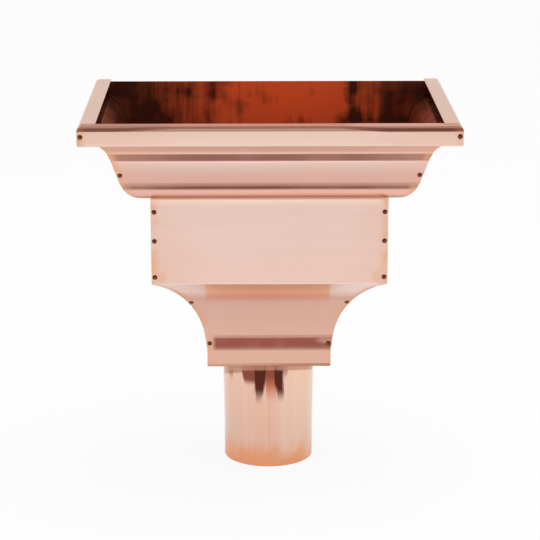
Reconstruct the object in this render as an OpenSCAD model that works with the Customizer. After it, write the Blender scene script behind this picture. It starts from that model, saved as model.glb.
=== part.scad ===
// Copper hopper head for a round downpipe: folded front and side panels with a moulded crown and a
// coved throat, a flat wall panel, a neck plate and a round outlet. Millimetres, Z up, front to -Y.
// The origin lies on the wall face, on the centre line.

/* [Head] */
// Width across the rim
head_w = 305; // [290:1:380]
// Depth from the front of the rim to the wall face
head_d = 216; // [205:1:300]
// Drop from the rim to the origin on the wall face
wall_datum = 105; // [80:1:140]

/* [Sheet] */
// Thickness of the copper sheet
sheet_t = 0.8; // [0.6:0.05:1]
// Inside radius of a plain fold
fold_r = 0.8; // [0.5:0.1:1.2]
// Film left between sheets that are soldered or riveted together
seam_gap = 0.04; // [0.02:0.01:0.1]

/* [Rim] */
// Width of the flat rim on the front and the sides
rim_w = 14; // [10:0.5:18]
// Outside radius of the rim's front edge
rim_r = 3.8; // [2.4:0.1:5]
// Height of the fascia under the rim
fascia_h = 16; // [14:0.5:24]
// Depth of the soffit under the fascia
soffit_d = 13; // [8:0.5:18]

/* [Crown] */
// How far the chamfer steps in
chamfer_run = 8; // [6:0.1:10]
// How far the chamfer drops
chamfer_drop = 8; // [6:0.1:12]
// Radius of the hollow between the chamfer and the upper fillet
hollow_r = 9; // [4:0.5:10]
// Height of the upper fillet
upper_fillet_h = 8.1; // [6:0.1:10]
// Rake of the upper fillet off the vertical, in degrees
upper_fillet_rake = 24; // [20:0.5:30]
// Height of the raked band between the fillets
raked_h = 20.8; // [16:0.1:30]
// Rake of that band off the vertical, in degrees
rake = 18; // [10:0.5:20]
// Height of the lower fillet
lower_fillet_h = 5.5; // [3:0.1:7]
// Rake of the lower fillet off the vertical, in degrees
lower_fillet_rake = 26; // [20:0.5:30]
// Lean of the round's upper end off the vertical, in degrees
round_lean = 32; // [30:0.5:40]
// Width of the level shelf between the round and the body
shelf_w = 1.6; // [1.4:0.1:4]

/* [Body] */
// Setback of the flat body from the rim
body_inset = 54.7; // [50:0.1:62]
// Height of the flat body
body_h = 74.3; // [60:0.1:120]
// Height of the cove under the body
cove_h = 59.3; // [52:0.1:80]
// Steepness of the cove's lower end, in degrees
cove_end = 80; // [72:0.5:86]

/* [Neck] */
// Width of the neck
neck_w = 106; // [100:0.5:120]
// Height of the throat band between the cove and the neck band
throat_h = 12; // [10:0.5:18]
// How far the throat band tapers in
throat_taper = 1.5; // [0:0.1:2.5]
// Height of the neck band
neck_h = 15.4; // [10:0.1:30]
// Width of the flange turned in at the foot of the neck
foot_w = 8; // [6:0.5:9]

/* [Wall panel] */
// Drop from the rim to the top edge of the wall panel
wall_top_drop = 2; // [1.2:0.1:6]

/* [Outlet] */
// Outside diameter of the outlet at the neck
outlet_d = 81; // [70:0.1:82]
// Outside diameter of the spigot that slides into the downpipe
spigot_d = 78.2; // [70:0.1:80]
// Length of the outlet below the neck
outlet_l = 99; // [80:1:160]
// Length of the straight spigot below the outlet's taper
spigot_l = 30; // [20:1:60]
// Width of the flange that seats the outlet on the neck plate
outlet_flange_w = 6; // [4:0.5:7]
// Gap between the neck plate's hole and the outlet's flange fold
outlet_gap = 0.1; // [0.05:0.05:0.3]

/* [Corner rivets] */
// Diameter of a rivet's head
rivet_head_d = 4.2; // [3.6:0.1:4.6]
// Height of a rivet's head
rivet_head_h = 0.9; // [0.6:0.1:1.2]
// Diameter of a rivet's shank
rivet_d = 2; // [1.6:0.1:2.4]
// Diameter of the tail set inside
rivet_tail_d = 3; // [2.6:0.1:3.4]
// Height of the tail set inside
rivet_tail_h = 0.8; // [0.6:0.1:1.2]
// Gap round a shank in its hole
rivet_gap = 0.05; // [0.03:0.01:0.1]
// Distance of a rivet from the corner's edge
rivet_edge = 2.8; // [2.7:0.1:3.5]
// Height of the tab behind a rivet
tab_h = 8; // [6:0.5:9]
// Reach of the tab past the rivet
tab_reach = 5; // [4:0.5:8]
// Distance of the raked band's rivet from its upper fold
raked_rivet = 14; // [8:0.5:16]
// Distance of the body's upper rivet from the shelf
body_rivet_top = 12.8; // [8:0.1:20]
// Distance of the body's middle rivet from the shelf
body_rivet_mid = 37.4; // [30:0.1:45]
// Distance of the body's lower rivet from the cove
body_rivet_foot = 6; // [5.5:0.1:12]

/* [Hidden] */
$fn = 64;
copper = [0.85, 0.56, 0.45];
dark_copper = [0.4, 0.18, 0.13];

// How far a cut or a bounding plan runs past the solid it trims
spare = 1;

// Back of a rivet's tab and top of its tail, measured in from the outside face
tab_back = -2 * sheet_t - seam_gap;
tail_top = tab_back - seam_gap;

// Folds seen from the outside: a ridge stands out, a valley falls in
ridge_r = fold_r + sheet_t;
valley_r = fold_r;

// Setbacks of the crown's corners from the front of the rim
chamfer_inset = soffit_d + chamfer_run;
upper_fillet_inset = chamfer_inset + upper_fillet_h * tan(upper_fillet_rake);
raked_inset = upper_fillet_inset + raked_h * tan(rake);
lower_fillet_inset = raked_inset + lower_fillet_h * tan(lower_fillet_rake);

// The round fills the setback left between the lower fillet and the shelf
round_start = ridge_r * tan((round_lean - lower_fillet_rake) / 2) + sheet_t;
round_span = body_inset - shelf_w - lower_fillet_inset - round_start * sin(round_lean);
round_tangent = round_span / (1 + sin(round_lean));
round_r = round_tangent / tan(45 - round_lean / 2);
round_lead = round_start + round_tangent;
round_inset = lower_fillet_inset + round_lead * sin(round_lean);

// Setbacks of the neck's corners
neck_inset = (head_w - neck_w) / 2;
cove_inset = neck_inset - throat_taper;
foot_inset = neck_inset + foot_w;

// Heights of all the corners, measured down from the rim
chamfer_foot = fascia_h + chamfer_drop;
upper_fillet_foot = chamfer_foot + upper_fillet_h;
raked_foot = upper_fillet_foot + raked_h;
lower_fillet_foot = raked_foot + lower_fillet_h;
shelf_drop = lower_fillet_foot + round_lead * cos(round_lean);
body_foot = shelf_drop + body_h;
cove_foot = body_foot + cove_h;
throat_foot = cove_foot + throat_h;
neck_foot = throat_foot + neck_h;

// The cove is one arc between two short straight leads
cove_lead = 2 * ridge_r;
cove_run = cove_inset - body_inset;
cove_slope = atan2(cove_h, cove_run);
cove_half_turn = cove_end - cove_slope;
cove_start = cove_slope - cove_half_turn;
cove_tangent = norm([cove_run, cove_h]) / (2 * cos(cove_half_turn));
cove_corner = [body_inset + cove_tangent * cos(cove_start), -body_foot - cove_tangent * sin(cove_start)];
cove_r = (cove_tangent - cove_lead) / tan(cove_half_turn);

// Corners of the outside face from the rim to the foot, each as setback, height and fold radius
PANEL = [
    [rim_w, 0, 0],
    [0, 0, rim_r],
    [0, -fascia_h, ridge_r],
    [soffit_d, -fascia_h, valley_r],
    [chamfer_inset, -chamfer_foot, hollow_r],
    [upper_fillet_inset, -upper_fillet_foot, ridge_r],
    [raked_inset, -raked_foot, ridge_r],
    [lower_fillet_inset, -lower_fillet_foot, ridge_r],
    [round_inset, -shelf_drop, round_r],
    [body_inset, -shelf_drop, valley_r],
    [body_inset, -body_foot, ridge_r],
    [cove_corner.x, cove_corner.y, cove_r],
    [cove_inset, -cove_foot, valley_r],
    [neck_inset, -throat_foot, valley_r],
    [neck_inset, -neck_foot, ridge_r],
    [foot_inset, -neck_foot, 0]
];
FASCIA = 1;
RAKED_BAND = 5;
BODY = 9;
COVE = 11;
THROAT = 12;

// Levels and centres in the part's own frame
rim_z = wall_datum;
plate_z = rim_z - neck_foot + sheet_t;
plate_edge = sheet_t + fold_r;
outlet_y = -(head_d - neck_inset) / 2;
outlet_r = outlet_d / 2;
spigot_r = spigot_d / 2;
bore_r = outlet_r - sheet_t;
spigot_bore_r = spigot_r - sheet_t;
flange_z = plate_z + 2 * sheet_t;
spigot_foot = rim_z - neck_foot - outlet_l;

// Corners of the outlet's wet face, each as radius, height and fold radius
OUTLET = [
    [outlet_r + outlet_flange_w, flange_z, 0],
    [bore_r, flange_z, ridge_r],
    [spigot_bore_r, spigot_foot + spigot_l, valley_r],
    [spigot_bore_r, spigot_foot, 0]
];

// Geometry of a folded sheet, drawn along the corners of its shown face
function flat_point(corner) = [corner.x, corner.y];
function unit(v) = v / norm(v);
function outward(along) = [along.y, -along.x];
function turned(v, a) = [v.x * cos(a) - v.y * sin(a), v.x * sin(a) + v.y * cos(a)];
function reversed(list) = [for (i = [len(list) - 1:-1:0]) list[i]];
function run_after(path, i) = unit(flat_point(path[i + 1]) - flat_point(path[i]));
function fold_turn(path, i) =
    let (before = run_after(path, i - 1), after = run_after(path, i))
    atan2(cross(before, after), before * after);
function fold_side(path, i) = fold_turn(path, i) > 0 ? 1 : -1;
function fold_normal(path, i, share) = turned(outward(run_after(path, i - 1)), fold_turn(path, i) * share);
function fold_centre(path, i) =
    let (before = run_after(path, i - 1), r = path[i][2])
    flat_point(path[i]) - before * r * tan(abs(fold_turn(path, i)) / 2)
    - outward(before) * r * fold_side(path, i);
function fold_point(path, i, share, depth) =
    let (side = fold_side(path, i))
    fold_centre(path, i) + fold_normal(path, i, share) * side * (path[i][2] - side * depth);
function fold_steps(path, i) = 1 + ceil(2 * sqrt(path[i][2] * abs(fold_turn(path, i)) * PI / 180));
function end_point(path, i, along, depth) = flat_point(path[i]) - outward(along) * depth;
function sheet_face(path, depth) =
    let (last = len(path) - 1)
    concat(
        [end_point(path, 0, run_after(path, 0), depth)],
        [for (i = [1:last - 1]) let (steps = fold_steps(path, i))
            for (k = [0:steps]) fold_point(path, i, k / steps, depth)],
        [end_point(path, last, run_after(path, last - 1), depth)]
    );
function lean_of(normal) = atan2(-normal.y, -normal.x);

// A rivet's seat as setback, height, lean of the face and packing under the head
function facet_seat(i, along) =
    let (run = run_after(PANEL, i), at = flat_point(PANEL[i]) + run * along)
    [at.x, at.y, lean_of(outward(run)), seam_gap];
function fold_seat(i, share) =
    let (at = fold_point(PANEL, i, share, 0), hollow = pow(rivet_head_d / 2, 2) / (2 * PANEL[i][2]))
    [at.x, at.y, lean_of(fold_normal(PANEL, i, share)), seam_gap + hollow];

RIVETS = [
    facet_seat(FASCIA, fascia_h / 2),
    facet_seat(RAKED_BAND, raked_rivet),
    facet_seat(BODY, body_rivet_top),
    facet_seat(BODY, body_rivet_mid),
    facet_seat(BODY, body_h - body_rivet_foot),
    fold_seat(COVE, 0.5),
    facet_seat(THROAT, throat_h / 2)
];

module sheet_section(path) {
    polygon(concat(sheet_face(path, 0), reversed(sheet_face(path, sheet_t))));
}

// Plan of the front panel, bounded by the mitre lines of the two front corners
module front_plan() {
    reach = foot_inset + spare;
    polygon([
        [-head_w / 2 - spare, -head_d - spare],
        [head_w / 2 + spare, -head_d - spare],
        [head_w / 2 - reach, -head_d + reach],
        [-head_w / 2 + reach, -head_d + reach]
    ]);
}

// Plan of the right side panel, from the mitre line back to the wall
module side_plan() {
    reach = foot_inset + spare;
    polygon([
        [head_w / 2 + spare, -head_d - spare],
        [head_w / 2 + spare, 0],
        [head_w / 2 - reach, 0],
        [head_w / 2 - reach, -head_d + reach]
    ]);
}

// Corner of the front rim that runs on past the mitre, so that the side rim butts against it.
// Its front half lies within the front rim, which makes the two one sheet.
module rim_ear(h) {
    linear_extrude(h)
        translate([head_w / 2 - rim_w, -head_d + rim_r])
            square(rim_w - rim_r);
}

// A plan raised through the whole height of the panels
module through_head() {
    translate([0, 0, rim_z - neck_foot - spare])
        linear_extrude(neck_foot + 2 * spare)
            children();
}

// Stands children on the front face at a rivet's seat, with Z outward and Y up the face
module on_front(seat) {
    translate([head_w / 2 - seat[0] - rivet_edge, -head_d + seat[0], rim_z + seat[1]])
        rotate([90 + seat[2], 0, 0])
            children();
}

module rivet_hole() {
    translate([0, 0, tab_back - spare])
        cylinder(h = 2 * spare - tab_back, d = rivet_d + 2 * rivet_gap);
}

// Tab of the side panel that lies behind the front panel and takes the rivet
module corner_tab(seat) {
    edge = rivet_edge - sheet_t / 2;
    shift = tab_h / 2 * sin(seat[2]);
    translate([0, 0, tab_back])
        linear_extrude(sheet_t)
            polygon([
                [-tab_reach, -tab_h / 2],
                [edge - shift, -tab_h / 2],
                [edge + shift, tab_h / 2],
                [-tab_reach, tab_h / 2]
            ]);
}

// One set rivet: domed head outside, shank through both sheets, tail inside
module rivet(packing) {
    head_r = rivet_head_d / 2;
    dome_r = (head_r * head_r + rivet_head_h * rivet_head_h) / (2 * rivet_head_h);
    translate([0, 0, packing])
        rotate_extrude()
            intersection() {
                translate([0, rivet_head_h - dome_r])
                    circle(dome_r);
                square([head_r, rivet_head_h]);
            }
    translate([0, 0, tail_top])
        cylinder(h = packing + rivet_head_h / 2 - tail_top, d = rivet_d);
    translate([0, 0, tail_top - rivet_tail_h])
        cylinder(h = rivet_tail_h, d = rivet_tail_d);
}

module right_rivets() {
    for (seat = RIVETS)
        on_front(seat) rivet(seat[3]);
}

module right_side() {
    difference() {
        union() {
            intersection() {
                translate([head_w / 2, -head_d, rim_z])
                    rotate([90, 0, 180])
                        linear_extrude(head_d)
                            sheet_section(PANEL);
                through_head() side_plan();
            }
            for (seat = RIVETS)
                on_front(seat) corner_tab(seat);
        }
        for (seat = RIVETS)
            on_front(seat) rivet_hole();
        translate([0, 0, rim_z - sheet_t - spare])
            rim_ear(sheet_t + 2 * spare);
    }
}

module front_panel() {
    color(copper)
        difference() {
            union() {
                intersection() {
                    translate([-head_w / 2, -head_d, rim_z])
                        rotate([90, 0, 90])
                            linear_extrude(head_w)
                                sheet_section(PANEL);
                    through_head() front_plan();
                }
                for (side = [0, 1])
                    mirror([side, 0, 0])
                        translate([0, 0, rim_z - sheet_t])
                            rim_ear(sheet_t);
            }
            for (side = [0, 1], seat = RIVETS)
                mirror([side, 0, 0])
                    on_front(seat) rivet_hole();
        }
}

module left_side_panel() {
    color(copper)
        mirror([1, 0, 0])
            right_side();
}

module right_side_panel() {
    color(copper)
        right_side();
}

// Flat panel against the wall, cut to the inside of the two side panels
module wall_panel() {
    inside = [for (p = sheet_face(PANEL, sheet_t + seam_gap)) [head_w / 2 - p.x, rim_z + p.y]];
    across = [for (p = reversed(inside)) [-p.x, p.y]];
    color(copper)
        rotate([90, 0, 0])
            linear_extrude(sheet_t)
                intersection() {
                    polygon(concat(inside, across));
                    translate([-head_w / 2, rim_z - neck_foot])
                        square([head_w, neck_foot - wall_top_drop]);
                }
}

// Plate on the neck's foot flanges, with the outlet's hole
module neck_plate() {
    front_y = -head_d + neck_inset + plate_edge;
    half_w = neck_w / 2 - plate_edge;
    color(copper)
        difference() {
            translate([-half_w, front_y, plate_z])
                cube([2 * half_w, -sheet_t - front_y, sheet_t]);
            translate([0, outlet_y, plate_z - spare])
                cylinder(h = sheet_t + 2 * spare, r = outlet_r + fold_r + outlet_gap);
        }
}

module outlet_tube() {
    color(copper)
        translate([0, outlet_y, 0])
            rotate_extrude()
                sheet_section(OUTLET);
}

module left_corner_rivets() {
    color(dark_copper)
        mirror([1, 0, 0])
            right_rivets();
}

module right_corner_rivets() {
    color(dark_copper)
        right_rivets();
}

front_panel();
left_side_panel();
right_side_panel();
wall_panel();
neck_plate();
outlet_tube();
left_corner_rivets();
right_corner_rivets();
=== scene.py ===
# Copper hopper head for a round downpipe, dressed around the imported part.
# Metres, Z up, front to -Y, with the origin on the wall face as in the part.
import math
import bmesh
import bpy
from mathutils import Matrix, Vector


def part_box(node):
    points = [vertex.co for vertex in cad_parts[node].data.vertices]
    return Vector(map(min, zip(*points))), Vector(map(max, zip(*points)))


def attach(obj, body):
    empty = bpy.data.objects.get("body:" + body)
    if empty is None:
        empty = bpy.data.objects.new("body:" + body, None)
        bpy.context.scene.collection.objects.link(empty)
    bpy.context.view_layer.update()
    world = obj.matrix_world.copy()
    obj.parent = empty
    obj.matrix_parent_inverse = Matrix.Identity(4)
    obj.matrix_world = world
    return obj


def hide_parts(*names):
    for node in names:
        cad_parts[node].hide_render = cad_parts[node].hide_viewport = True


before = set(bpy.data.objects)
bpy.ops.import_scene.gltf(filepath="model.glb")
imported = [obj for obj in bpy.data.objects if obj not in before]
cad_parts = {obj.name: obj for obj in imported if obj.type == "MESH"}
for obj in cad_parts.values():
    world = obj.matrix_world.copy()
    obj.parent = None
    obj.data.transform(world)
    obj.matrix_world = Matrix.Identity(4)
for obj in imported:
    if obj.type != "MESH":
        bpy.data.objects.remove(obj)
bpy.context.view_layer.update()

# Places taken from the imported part
FRONT_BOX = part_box("front_panel")
SIDE_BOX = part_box("right_side_panel")
OUTLET_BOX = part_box("outlet_tube")
RIM_Z = FRONT_BOX[1].z
FRONT_Y = FRONT_BOX[0].y
NECK_FOOT = RIM_Z - FRONT_BOX[0].z
HALF_W = SIDE_BOX[1].x
HEAD_D = SIDE_BOX[1].y - FRONT_Y
SPIGOT_FOOT = OUTLET_BOX[0].z
OUTLET_Y = (OUTLET_BOX[0].y + OUTLET_BOX[1].y) / 2
FLANGE_R = (OUTLET_BOX[1].x - OUTLET_BOX[0].x) / 2
FLANGE_Z = OUTLET_BOX[1].z

# Sheet and folds
SHEET = 0.0008
FOLD_R = 0.0008
RIDGE_R = FOLD_R + SHEET
VALLEY_R = FOLD_R
SEAM = 0.00004
EDGE_EASE = 0.00012
RIPPLE = 0.0005

# How far a panel is swept past its mitre before it is cut there
SPARE = 0.002

# Rim and crown, from the rim down
RIM_W = 0.014
RIM_R = 0.0038
FASCIA_H = 0.016
SOFFIT_D = 0.013
CHAMFER_RUN = 0.008
CHAMFER_DROP = 0.008
HOLLOW_R = 0.009
UPPER_FILLET_H = 0.0081
UPPER_FILLET_RAKE = math.radians(24)
RAKED_H = 0.0208
RAKE = math.radians(18)
LOWER_FILLET_H = 0.0055
LOWER_FILLET_RAKE = math.radians(26)
ROUND_LEAN = math.radians(32)
SHELF_W = 0.0016

# Body, cove and neck
BODY_INSET = 0.0547
BODY_H = 0.0743
COVE_H = 0.0593
COVE_END = math.radians(80)
NECK_W = 0.106
THROAT_H = 0.012
THROAT_TAPER = 0.0015
FOOT_W = 0.008

# Outlet
OUTLET_R = 0.0405
SPIGOT_R = 0.0391
SPIGOT_L = 0.03
OUTLET_SIDES = 96

# Solder in the inside corners
SOLDER_R = 0.001
SOLDER_LUMP = 0.0005

# Corner rivets
RIVET_HEAD_R = 0.0021
RIVET_HEAD_H = 0.0009
RIVET_R = 0.001
RIVET_TAIL_R = 0.0015
RIVET_TAIL_H = 0.0008
RIVET_EDGE = 0.0028
TAB_H = 0.008
TAB_REACH = 0.005
RAKED_RIVET = 0.014
BODY_RIVET_TOP = 0.0128
BODY_RIVET_MID = 0.0374
BODY_RIVET_FOOT = 0.006
DOME_SIDES = 28
DOME_RINGS = 48
PIN_SIDES = 24

# How closely the sheets are divided, along a run and across a panel
ROW = 0.005
COLUMN = 0.005
FOLD_STEP = math.radians(12)

# Setbacks of the crown's corners from the front of the rim
chamfer_inset = SOFFIT_D + CHAMFER_RUN
upper_fillet_inset = chamfer_inset + UPPER_FILLET_H * math.tan(UPPER_FILLET_RAKE)
raked_inset = upper_fillet_inset + RAKED_H * math.tan(RAKE)
lower_fillet_inset = raked_inset + LOWER_FILLET_H * math.tan(LOWER_FILLET_RAKE)

# The round fills the setback left between the lower fillet and the shelf
round_start = RIDGE_R * math.tan((ROUND_LEAN - LOWER_FILLET_RAKE) / 2) + SHEET
round_span = BODY_INSET - SHELF_W - lower_fillet_inset - round_start * math.sin(ROUND_LEAN)
round_tangent = round_span / (1 + math.sin(ROUND_LEAN))
round_r = round_tangent / math.tan(math.pi / 4 - ROUND_LEAN / 2)
round_lead = round_start + round_tangent
round_inset = lower_fillet_inset + round_lead * math.sin(ROUND_LEAN)

# Setbacks of the neck's corners
neck_inset = HALF_W - NECK_W / 2
cove_inset = neck_inset - THROAT_TAPER

# Heights of all the corners, measured down from the rim
chamfer_foot = FASCIA_H + CHAMFER_DROP
upper_fillet_foot = chamfer_foot + UPPER_FILLET_H
raked_foot = upper_fillet_foot + RAKED_H
lower_fillet_foot = raked_foot + LOWER_FILLET_H
shelf_drop = lower_fillet_foot + round_lead * math.cos(ROUND_LEAN)
body_foot = shelf_drop + BODY_H
cove_foot = body_foot + COVE_H
throat_foot = cove_foot + THROAT_H

# The cove is one arc between two short straight leads
cove_lead = 2 * RIDGE_R
cove_run = cove_inset - BODY_INSET
cove_slope = math.atan2(COVE_H, cove_run)
cove_half_turn = COVE_END - cove_slope
cove_start = cove_slope - cove_half_turn
cove_tangent = math.hypot(cove_run, COVE_H) / (2 * math.cos(cove_half_turn))
cove_corner = (
    BODY_INSET + cove_tangent * math.cos(cove_start),
    -body_foot - cove_tangent * math.sin(cove_start),
)
cove_r = (cove_tangent - cove_lead) / math.tan(cove_half_turn)

# Corners of the panels' outside face, each as setback, height and fold radius
PANEL = [
    (RIM_W, 0, 0),
    (0, 0, RIM_R),
    (0, -FASCIA_H, RIDGE_R),
    (SOFFIT_D, -FASCIA_H, VALLEY_R),
    (chamfer_inset, -chamfer_foot, HOLLOW_R),
    (upper_fillet_inset, -upper_fillet_foot, RIDGE_R),
    (raked_inset, -raked_foot, RIDGE_R),
    (lower_fillet_inset, -lower_fillet_foot, RIDGE_R),
    (round_inset, -shelf_drop, round_r),
    (BODY_INSET, -shelf_drop, VALLEY_R),
    (BODY_INSET, -body_foot, RIDGE_R),
    (cove_corner[0], cove_corner[1], cove_r),
    (cove_inset, -cove_foot, VALLEY_R),
    (neck_inset, -throat_foot, VALLEY_R),
    (neck_inset, -NECK_FOOT, RIDGE_R),
    (neck_inset + FOOT_W, -NECK_FOOT, 0),
]

# Runs and folds of PANEL that take rivets
FASCIA = 1
RAKED_BAND = 5
BODY = 9
COVE = 11
THROAT = 12

# Corners of the outlet's wet face, each as radius, height and fold radius
OUTLET = [
    (FLANGE_R, FLANGE_Z, 0),
    (OUTLET_R - SHEET, FLANGE_Z, RIDGE_R),
    (SPIGOT_R - SHEET, SPIGOT_FOOT + SPIGOT_L, VALLEY_R),
    (SPIGOT_R - SHEET, SPIGOT_FOOT, 0),
]


# Small helpers for modelling

def deselect():
    bpy.ops.object.select_all(action="DESELECT")


def pick(piece):
    """Selects one piece alone, as the active one."""
    deselect()
    piece.select_set(True)
    bpy.context.view_layer.objects.active = piece


def name_piece(name):
    """The object just added, under its own name."""
    piece = bpy.context.object
    piece.name = name
    piece.data.name = name
    return piece


def edit_all(piece):
    """Opens one piece in edit mode with all of it selected."""
    pick(piece)
    bpy.ops.object.mode_set(mode="EDIT")
    bpy.ops.mesh.select_all(action="SELECT")


def leave_edit():
    bpy.ops.object.mode_set(mode="OBJECT")


def settle(piece):
    """Moves the piece's place, turn and size into its mesh."""
    pick(piece)
    bpy.ops.object.transform_apply(location=True, rotation=True, scale=True)


def join(piece, extras):
    """Joins more pieces into one."""
    pick(piece)
    for extra in extras:
        extra.select_set(True)
    bpy.ops.object.join()
    return piece


def apply_modifier(piece, kind, **settings):
    """Gives the piece a modifier and applies it at once."""
    pick(piece)
    bpy.ops.object.modifier_add(type=kind)
    modifier = piece.modifiers[-1]
    for key, value in settings.items():
        setattr(modifier, key, value)
    bpy.ops.object.modifier_apply(modifier=modifier.name)


def round_shading(piece, degrees=32):
    """Smooth curves and crisp folds, with flat faces kept flat."""
    pick(piece)
    bpy.ops.object.shade_smooth_by_angle(angle=math.radians(degrees))
    apply_modifier(piece, "WEIGHTED_NORMAL", mode="FACE_AREA", weight=60, keep_sharp=True)


# Folded sheet metal

SHEET_WAVES = bpy.data.textures.new("sheet waves", "CLOUDS")
SHEET_WAVES.noise_scale = 0.07
SHEET_WAVES.noise_depth = 1


def run_after(path, i):
    """Direction of the straight run after a corner."""
    return (Vector(path[i + 1][:2]) - Vector(path[i][:2])).normalized()


def fold_turn(path, i):
    """Turn of the sheet at a corner, signed by its side."""
    before = run_after(path, i - 1)
    after = run_after(path, i)
    return math.atan2(before.x * after.y - before.y * after.x, before.dot(after))


def draw_profile(name, path):
    """Edge chain along the corners of a sheet: runs in short rows, each fold as a spun arc."""
    deselect()
    bpy.ops.mesh.primitive_plane_add(size=SHEET)
    piece = name_piece(name)
    edit_all(piece)
    bpy.ops.mesh.merge(type="CENTER")
    at = Vector(path[0][:2])
    bpy.ops.transform.translate(value=(at.x, 0, at.y))
    last = len(path) - 1
    for i in range(1, last + 1):
        ahead = run_after(path, i - 1)
        turn = fold_turn(path, i) if i < last else 0
        radius = path[i][2]
        lead = radius * math.tan(abs(turn) / 2)
        run_end = Vector(path[i][:2]) - ahead * lead
        rows = max(1, round((run_end - at).length / ROW))
        step = (run_end - at) / rows
        for _ in range(rows):
            bpy.ops.mesh.extrude_vertices_move(TRANSFORM_OT_translate={"value": (step.x, 0, step.y)})
        at = run_end
        if turn:
            side = math.copysign(radius, turn)
            centre = run_end + Vector((-ahead.y, ahead.x)) * side
            steps = max(4, round(abs(turn) / FOLD_STEP), round(radius * abs(turn) / ROW))
            bpy.ops.mesh.spin(steps=steps, angle=turn, center=(centre.x, 0, centre.y), axis=(0, 1, 0))
            at = Vector(path[i][:2]) + run_after(path, i) * lead
    leave_edit()
    return piece


def sweep_straight(piece, length):
    """Draws the profile out along Y into a sheet."""
    edit_all(piece)
    columns = round(length / COLUMN)
    for _ in range(columns):
        bpy.ops.mesh.extrude_edges_move(TRANSFORM_OT_translate={"value": (0, length / columns, 0)})
    leave_edit()


def ripple(piece, length):
    """The slight unevenness of hand-folded sheet, fading out towards the stiff rim and the ends."""
    free = piece.vertex_groups.new(name="free sheet")
    for vertex in piece.data.vertices:
        setback, along, height = vertex.co
        below = (-height - FASCIA_H) / CHAMFER_DROP
        from_end = (min(along, length - along) - SPARE - setback) / RIM_W
        share = min(1, max(0, min(below, from_end)))
        free.add([vertex.index], share, "REPLACE")
    apply_modifier(
        piece, "DISPLACE", texture=SHEET_WAVES, texture_coords="LOCAL", direction="NORMAL",
        mid_level=0.5, strength=RIPPLE, vertex_group=free.name,
    )
    piece.vertex_groups.clear()


def thicken(piece, drawn_face, far_face):
    """Gives the sheet its thickness, behind the drawn face, and eases its raw edges."""
    piece.data.materials.append(drawn_face)
    piece.data.materials.append(far_face)
    apply_modifier(piece, "SOLIDIFY", thickness=SHEET, offset=-1, use_even_offset=True, material_offset=1)
    apply_modifier(
        piece, "BEVEL", width=EDGE_EASE, segments=2, limit_method="ANGLE", angle_limit=math.radians(60)
    )


def cut(piece, point, normal, **keep):
    """Cuts the piece on a plane and closes the cut."""
    edit_all(piece)
    bpy.ops.mesh.bisect(plane_co=point, plane_no=normal, use_fill=True, **keep)
    leave_edit()


def mitre(piece, side, front):
    """Cuts a panel on the upright mitre plane of the left (-1) or right (1) front corner."""
    normal = Vector((side, 1, 0)).normalized()
    shift = -SEAM / 2 if front else SEAM / 2
    point = Vector((side * HALF_W, FRONT_Y, 0)) + normal * shift
    cut(piece, point, normal, clear_outer=front, clear_inner=not front)


def rim_ear(name, side, spare):
    """Corner of the front rim that runs on past the mitre."""
    inner = RIM_W + spare
    outer = RIM_R - spare
    span = inner - outer
    middle = (inner + outer) / 2
    deselect()
    bpy.ops.mesh.primitive_cube_add(size=1)
    ear = name_piece(name)
    ear.scale = (span, span, SHEET + 2 * spare)
    ear.location = (side * (HALF_W - middle), FRONT_Y + middle, RIM_Z - SHEET / 2)
    settle(ear)
    normal = Vector((side, 1, 0)).normalized()
    point = Vector((side * HALF_W, FRONT_Y, 0)) - normal * spare
    cut(ear, point, normal, clear_inner=True)
    return ear


def folded_panel(name, length, place, turn):
    """One moulded panel, folded along PANEL, swept over its length and set in place."""
    panel = draw_profile(name, PANEL)
    sweep_straight(panel, length)
    ripple(panel, length)
    thicken(panel, bright_copper, inside_copper)
    panel.location = place
    panel.rotation_euler = (0, 0, turn)
    settle(panel)
    return panel


def front_panel():
    """The moulded front, mitred at both ends, with its rim run on past the mitres."""
    end = HALF_W + SPARE
    panel = folded_panel("folded_front", 2 * end, (end, FRONT_Y, RIM_Z), math.pi / 2)
    for side in (-1, 1):
        mitre(panel, side, front=True)
    ears = [rim_ear("rim_ear", side, 0) for side in (-1, 1)]
    for ear in ears:
        ear.data.materials.append(bright_copper)
    join(panel, ears)
    round_shading(panel)
    return panel


def side_panel(name, side):
    """A moulded side from the mitre to the wall, with tabs for the corner rivets."""
    place = (HALF_W, 0, RIM_Z) if side > 0 else (-HALF_W, FRONT_Y - SPARE, RIM_Z)
    panel = folded_panel(name, HEAD_D + SPARE, place, math.pi if side > 0 else 0)
    mitre(panel, side, front=False)
    notch = rim_ear("rim_notch", side, SEAM)
    apply_modifier(panel, "BOOLEAN", operation="DIFFERENCE", object=notch, solver="EXACT")
    bpy.data.objects.remove(notch)
    join(panel, [corner_tab(seat, side) for seat in RIVETS])
    round_shading(panel)
    return panel


def outlet_tube():
    """The round outlet, spun from its profile."""
    tube = draw_profile("outlet_spigot", OUTLET)
    edit_all(tube)
    bpy.ops.mesh.spin(
        steps=OUTLET_SIDES, angle=2 * math.pi, center=(0, 0, 0), axis=(0, 0, 1), use_auto_merge=True
    )
    bpy.ops.mesh.select_all(action="SELECT")
    bpy.ops.mesh.remove_doubles(threshold=SEAM / 4)
    bpy.ops.mesh.normals_make_consistent(inside=False)
    faces = bmesh.from_edit_mesh(tube.data).faces
    flange = next(face for face in faces if face.calc_center_median().z > FLANGE_Z - SEAM)
    if flange.normal.z < 0:
        bpy.ops.mesh.flip_normals()
    leave_edit()
    thicken(tube, inside_copper, streaked_copper)
    tube.location = (0, OUTLET_Y, 0)
    settle(tube)
    round_shading(tube)
    return tube


# Solder

SOLDER_LUMPS = bpy.data.textures.new("solder lumps", "CLOUDS")
SOLDER_LUMPS.noise_scale = 0.005


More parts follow.
